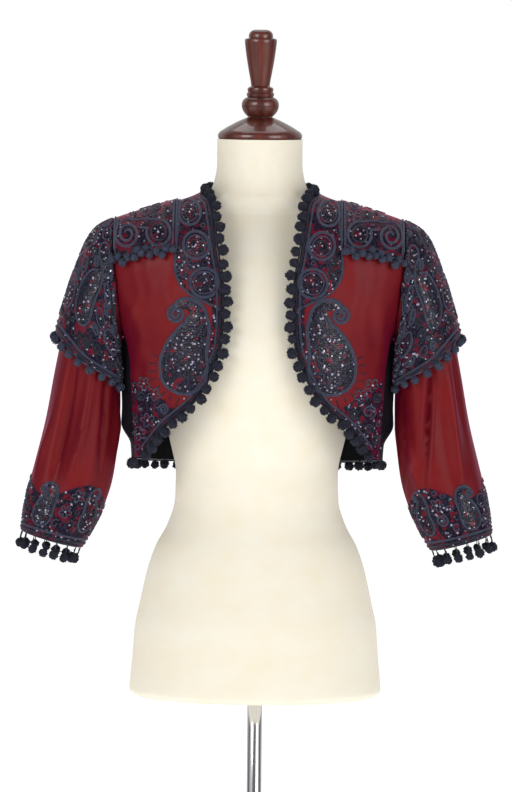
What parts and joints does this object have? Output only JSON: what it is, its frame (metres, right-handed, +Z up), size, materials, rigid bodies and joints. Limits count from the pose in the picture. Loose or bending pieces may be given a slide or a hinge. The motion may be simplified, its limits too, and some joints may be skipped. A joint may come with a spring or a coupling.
{
  "type": "bolero jacket on a dress form",
  "caption": "Cropped open-front bolero jacket with braid appliques and pompom edges, worn by a limbless dress form on a round-based pole.",
  "frame": {"origin": "on the floor under the middle of the pole", "axes": "+Z up the pole, -Y out of the jacket's open front, +X to the viewer's right"},
  "size_m": [0.6234, 0.39, 1.5605],
  "materials": {
    "linen": "matte cream cover",
    "mahogany": "high gloss",
    "chrome": "polished",
    "wine_silk": "shot silk",
    "black_lining": "satin",
    "navy_trim": "wool and cord",
    "slate_trim": "wool and cord"
  },
  "bodies": {
    "root": {"dress_form": "linen", "neck_cap": "mahogany", "finial": "mahogany", "pole": "chrome", "base": "chrome", "back": "wine_silk", "front_left": "wine_silk", "side_left": "black_lining", "sleeve_left": "wine_silk", "oversleeve_left": "wine_silk", "yoke_left": "wine_silk", "front_pompoms_left": "navy_trim", "yoke_front_pompoms_left": "slate_trim", "yoke_back_pompoms_left": "slate_trim", "oversleeve_pompoms_left": "slate_trim", "cuff_pompoms_left": "navy_trim", "front_paisley_left": "navy_trim", "back_paisley_left": "navy_trim", "oversleeve_front_paisley_left": "slate_trim", "oversleeve_back_paisley_left": "slate_trim", "cuff_front_paisley_left": "slate_trim", "cuff_back_paisley_left": "slate_trim", "front_right": "wine_silk", "side_right": "black_lining", "sleeve_right": "wine_silk", "oversleeve_right": "wine_silk", "yoke_right": "wine_silk", "front_pompoms_right": "navy_trim", "yoke_front_pompoms_right": "slate_trim", "yoke_back_pompoms_right": "slate_trim", "oversleeve_pompoms_right": "slate_trim", "cuff_pompoms_right": "navy_trim", "front_paisley_right": "navy_trim", "back_paisley_right": "navy_trim", "oversleeve_front_paisley_right": "slate_trim", "oversleeve_back_paisley_right": "slate_trim", "cuff_front_paisley_right": "slate_trim", "cuff_back_paisley_right": "slate_trim", "neck_pompoms": "navy_trim", "hem_pompoms": "navy_trim"}
  },
  "joints": []
}
